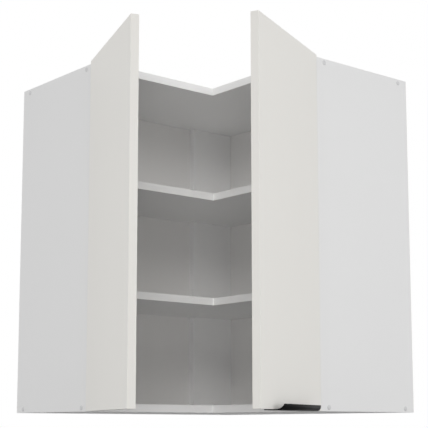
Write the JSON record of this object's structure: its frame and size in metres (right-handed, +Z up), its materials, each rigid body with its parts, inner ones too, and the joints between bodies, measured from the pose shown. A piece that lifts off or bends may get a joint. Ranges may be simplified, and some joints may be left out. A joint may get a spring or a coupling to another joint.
{
  "type": "corner wall cabinet",
  "caption": "L-shaped corner wall cabinet with end panels, loose shelves, two slab doors on concealed cup hinges standing open, and a dark edge-pull handle under one door.",
  "frame": {"origin": "the rear corner of the cabinet at its underside, where the two room walls meet", "axes": "+X along the right wing, -Y along the left wing, +Z up; the right wing faces -Y and the left wing faces +X; the wall planes are X = 0 and Y = 0; both doors stand open at rest"},
  "size_m": [0.7296, 0.7155, 0.7171],
  "materials": {
    "faced_board": "white melamine-faced chipboard, light satin",
    "shelf_board": "white melamine-faced chipboard, light satin",
    "door_board": "white faced board with a soft sheen",
    "back_board": "white-faced thin fibreboard",
    "beech": "plain turned beech",
    "cap_plastic": "moulded white plastic",
    "clear_bumper": "milky soft silicone",
    "hanger_plastic": "moulded off-white nylon",
    "screw_steel": "bright zinc plate",
    "pin_steel": "bright nickel plate",
    "hinge_steel": "pressed steel, satin nickel plate",
    "hook_steel": "pressed steel, zinc plate",
    "handle_paint": "satin black powder coat on bent aluminium"
  },
  "bodies": {
    "carcass": {"back_panel_screws": "screw_steel", "bottom_board": "faced_board", "carcass_screws": "screw_steel", "corner_strip": "faced_board", "dowels": "beech", "hanger_adjusters": "screw_steel", "hanger_screws": "screw_steel", "hinge_adjusting_screws": "screw_steel", "hinge_pivots": "pin_steel", "hinge_plate_screws": "screw_steel", "left_back_panel": "back_board", "left_hanger_body": "hanger_plastic", "left_hanger_hook": "hook_steel", "left_hinge_arms": "hinge_steel", "left_hinge_plates": "hinge_steel", "left_side_panel": "faced_board", "lower_shelf": "shelf_board", "right_back_panel": "back_board", "right_hanger_body": "hanger_plastic", "right_hanger_hook": "hook_steel", "right_hinge_arms": "hinge_steel", "right_hinge_plates": "hinge_steel", "right_side_panel": "faced_board", "screw_caps": "cap_plastic", "shelf_pins": "cap_plastic", "top_board": "faced_board", "upper_shelf": "shelf_board"},
    "left_door": {"left_door": "door_board", "left_hinge_cups": "hinge_steel", "left_cup_screws": "screw_steel", "left_door_bumpers": "clear_bumper"},
    "right_door": {"right_door": "door_board", "right_hinge_cups": "hinge_steel", "right_cup_screws": "screw_steel", "right_door_bumpers": "clear_bumper", "handle": "handle_paint", "handle_screws": "screw_steel"},
    "left_hinge_links": {"left_hinge_links": "hinge_steel"},
    "right_hinge_links": {"right_hinge_links": "hinge_steel"}
  },
  "joints": [
    {"name": "left_door_swing", "type": "hinge", "parent": "carcass", "child": "left_door", "pos_m": [0.292, -0.598, 0.3575], "axis": [0, 0, 1], "range_deg": [-4, 110]},
    {"name": "right_door_swing", "type": "hinge", "parent": "carcass", "child": "right_door", "pos_m": [0.598, -0.292, 0.3575], "axis": [0, 0, 1], "range_deg": [-114, 0]},
    {"name": "left_link_swing", "type": "hinge", "parent": "carcass", "child": "left_hinge_links", "pos_m": [0.286, -0.581, 0.3575], "axis": [0, 0, 1], "range_deg": [-4, 104]},
    {"name": "right_link_swing", "type": "hinge", "parent": "carcass", "child": "right_hinge_links", "pos_m": [0.581, -0.286, 0.3575], "axis": [0, 0, 1], "range_deg": [-107, 0]}
  ],
  "couplings": [
    {"joint": "left_link_swing", "follows": "left_door_swing", "ratio": 0.93717},
    {"joint": "right_link_swing", "follows": "right_door_swing", "ratio": 0.93717}
  ]
}
